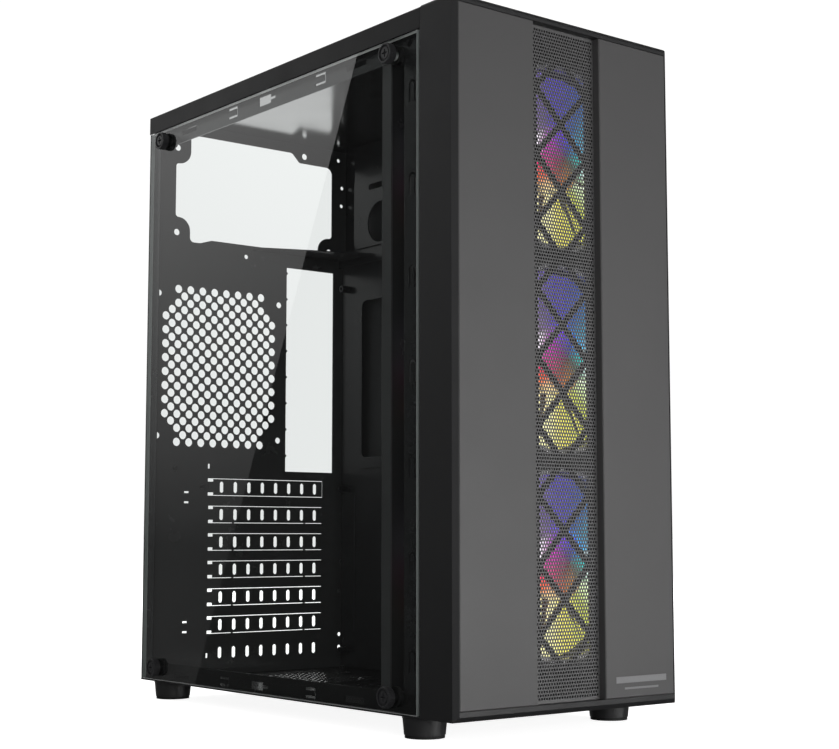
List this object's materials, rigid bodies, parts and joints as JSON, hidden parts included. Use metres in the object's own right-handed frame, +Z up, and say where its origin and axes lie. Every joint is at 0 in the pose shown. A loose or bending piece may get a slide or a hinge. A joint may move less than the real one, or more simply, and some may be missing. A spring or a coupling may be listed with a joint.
{
  "type": "desktop computer case",
  "caption": "Upright computer case with a clear left side, plated front panel, perforated centre strip over lit fans, vented rear wall and round feet.",
  "frame": {"origin": "on the floor, under the middle of the case body in width and depth", "axes": "+Z up, -Y towards the front panel, -X towards the glass side"},
  "size_m": [0.1835, 0.3528, 0.4243],
  "materials": {
    "chassis_steel": "black powder coat, semi-gloss, inside sheets",
    "outer_steel": "black powder coat, satin, outer sheets",
    "black_zinc_steel": "black zinc plated steel",
    "thumb_screw_black": "black anodised, knurled, semi-gloss",
    "foot_plastic": "black moulded plastic, satin",
    "rubber": "black rubber, matte",
    "glass": "clear tempered glass, polished",
    "shell_plastic": "black moulded plastic, fine texture",
    "plate_plastic": "dark grey moulded plastic, fine satin texture",
    "print_grey": "light grey pad print",
    "mesh_steel": "perforated steel sheet, dark grey coat",
    "fan_plastic": "black moulded plastic",
    "fan_blade": "frosted translucent plastic, lit in rainbow colours",
    "fan_stator": "wound motor core",
    "light_diffuser": "frosted light ring",
    "button_plastic": "black plastic, glossy",
    "circuit_board": "dark green circuit board",
    "black_plastic": "black plastic",
    "blue_plastic": "blue plastic",
    "nickel_steel": "nickel plated steel",
    "lamp": "clear light pipe"
  },
  "bodies": {
    "chassis": {"base_grille": "chassis_steel", "base_plate": "chassis_steel", "chassis_fasteners": "black_zinc_steel", "drive_bracket": "chassis_steel", "fan_frame_bottom": "fan_plastic", "fan_frame_middle": "fan_plastic", "fan_frame_top": "fan_plastic", "fan_light_rings": "light_diffuser", "fan_plate": "chassis_steel", "fan_screws": "black_zinc_steel", "fan_stators": "fan_stator", "foot_front_left": "foot_plastic", "foot_front_right": "foot_plastic", "foot_pads": "rubber", "foot_rear_left": "foot_plastic", "foot_rear_right": "foot_plastic", "foot_screws": "black_zinc_steel", "front_left_post": "chassis_steel", "glass_clinch_nuts": "black_zinc_steel", "inner_left_post": "chassis_steel", "motherboard_standoffs": "black_zinc_steel", "motherboard_tray": "chassis_steel", "psu_shelf": "chassis_steel", "rear_left_rim": "chassis_steel", "rear_right_rim": "chassis_steel", "rear_wall": "chassis_steel", "slot_cover_top": "chassis_steel", "slot_guard": "chassis_steel", "top_cover": "outer_steel", "top_left_rail": "chassis_steel", "top_right_rail": "chassis_steel"},
    "thumb_screw_front_bottom": {"thumb_screw_front_bottom": "thumb_screw_black"},
    "thumb_screw_front_top": {"thumb_screw_front_top": "thumb_screw_black"},
    "thumb_screw_rear_bottom": {"thumb_screw_rear_bottom": "thumb_screw_black"},
    "thumb_screw_rear_top": {"thumb_screw_rear_top": "thumb_screw_black"},
    "panel_screw_bottom": {"panel_screw_bottom": "thumb_screw_black"},
    "panel_screw_top": {"panel_screw_top": "thumb_screw_black"},
    "fan_rotor_bottom": {"fan_rotor_bottom": "fan_blade"},
    "fan_rotor_middle": {"fan_rotor_middle": "fan_blade"},
    "fan_rotor_top": {"fan_rotor_top": "fan_blade"},
    "power_button": {"power_button": "button_plastic"},
    "reset_button": {"reset_button": "button_plastic"},
    "glass_side": {"glass_panel": "glass", "glass_grommets": "rubber"},
    "right_side": {"right_side_panel": "outer_steel"},
    "front_panel": {"front_panel_shell": "shell_plastic", "front_lattice": "shell_plastic", "left_plate": "plate_plastic", "right_plate": "plate_plastic", "badge_bars": "print_grey", "mesh_strip": "mesh_steel", "io_board": "circuit_board", "io_board_screws": "black_zinc_steel", "button_switches": "black_plastic", "usb3_socket": "nickel_steel", "usb3_tongue": "blue_plastic", "usb2_sockets": "nickel_steel", "usb2_tongues": "black_plastic", "audio_jacks": "black_plastic", "status_lamps": "lamp"}
  },
  "joints": [
    {"name": "glass_slide", "type": "slide", "parent": "chassis", "child": "glass_side", "axis": [-1, 0, 0], "range_m": [0, 0.06]},
    {"name": "right_panel_slide", "type": "slide", "parent": "chassis", "child": "right_side", "axis": [0, 1, 0], "range_m": [0, 0.012]},
    {"name": "front_panel_slide", "type": "slide", "parent": "chassis", "child": "front_panel", "axis": [0, -1, 0], "range_m": [0, 0.05]},
    {"name": "fan_spin_bottom", "type": "hinge", "parent": "chassis", "child": "fan_rotor_bottom", "pos_m": [0, -0.1569, 0.0974], "axis": [0, 1, 0], "continuous": true},
    {"name": "fan_spin_middle", "type": "hinge", "parent": "chassis", "child": "fan_rotor_middle", "pos_m": [0, -0.1569, 0.2195], "axis": [0, 1, 0], "continuous": true},
    {"name": "fan_spin_top", "type": "hinge", "parent": "chassis", "child": "fan_rotor_top", "pos_m": [0, -0.1569, 0.3416], "axis": [0, 1, 0], "continuous": true},
    {"name": "thumb_screw_rear_bottom_turn", "type": "hinge", "parent": "glass_side", "child": "thumb_screw_rear_bottom", "pos_m": [-0.092, 0.1526, 0.0225], "axis": [1, 0, 0], "continuous": true},
    {"name": "thumb_screw_rear_top_turn", "type": "hinge", "parent": "glass_side", "child": "thumb_screw_rear_top", "pos_m": [-0.092, 0.1526, 0.401], "axis": [1, 0, 0], "continuous": true},
    {"name": "thumb_screw_front_bottom_turn", "type": "hinge", "parent": "glass_side", "child": "thumb_screw_front_bottom", "pos_m": [-0.092, -0.1176, 0.0225], "axis": [1, 0, 0], "continuous": true},
    {"name": "thumb_screw_front_top_turn", "type": "hinge", "parent": "glass_side", "child": "thumb_screw_front_top", "pos_m": [-0.092, -0.1176, 0.401], "axis": [1, 0, 0], "continuous": true},
    {"name": "panel_screw_bottom_turn", "type": "hinge", "parent": "right_side", "child": "panel_screw_bottom", "pos_m": [0.0834, 0.174, 0.095], "axis": [0, 1, 0], "continuous": true},
    {"name": "panel_screw_top_turn", "type": "hinge", "parent": "right_side", "child": "panel_screw_top", "pos_m": [0.0834, 0.174, 0.33], "axis": [0, 1, 0], "continuous": true},
    {"name": "power_press", "type": "slide", "parent": "front_panel", "child": "power_button", "axis": [0, 0, -1], "range_m": [0, 0.0012], "stiffness_N_per_m": 400, "springref_m": -0.001},
    {"name": "reset_press", "type": "slide", "parent": "front_panel", "child": "reset_button", "axis": [0, 0, -1], "range_m": [0, 0.0012], "stiffness_N_per_m": 400, "springref_m": -0.001}
  ]
}
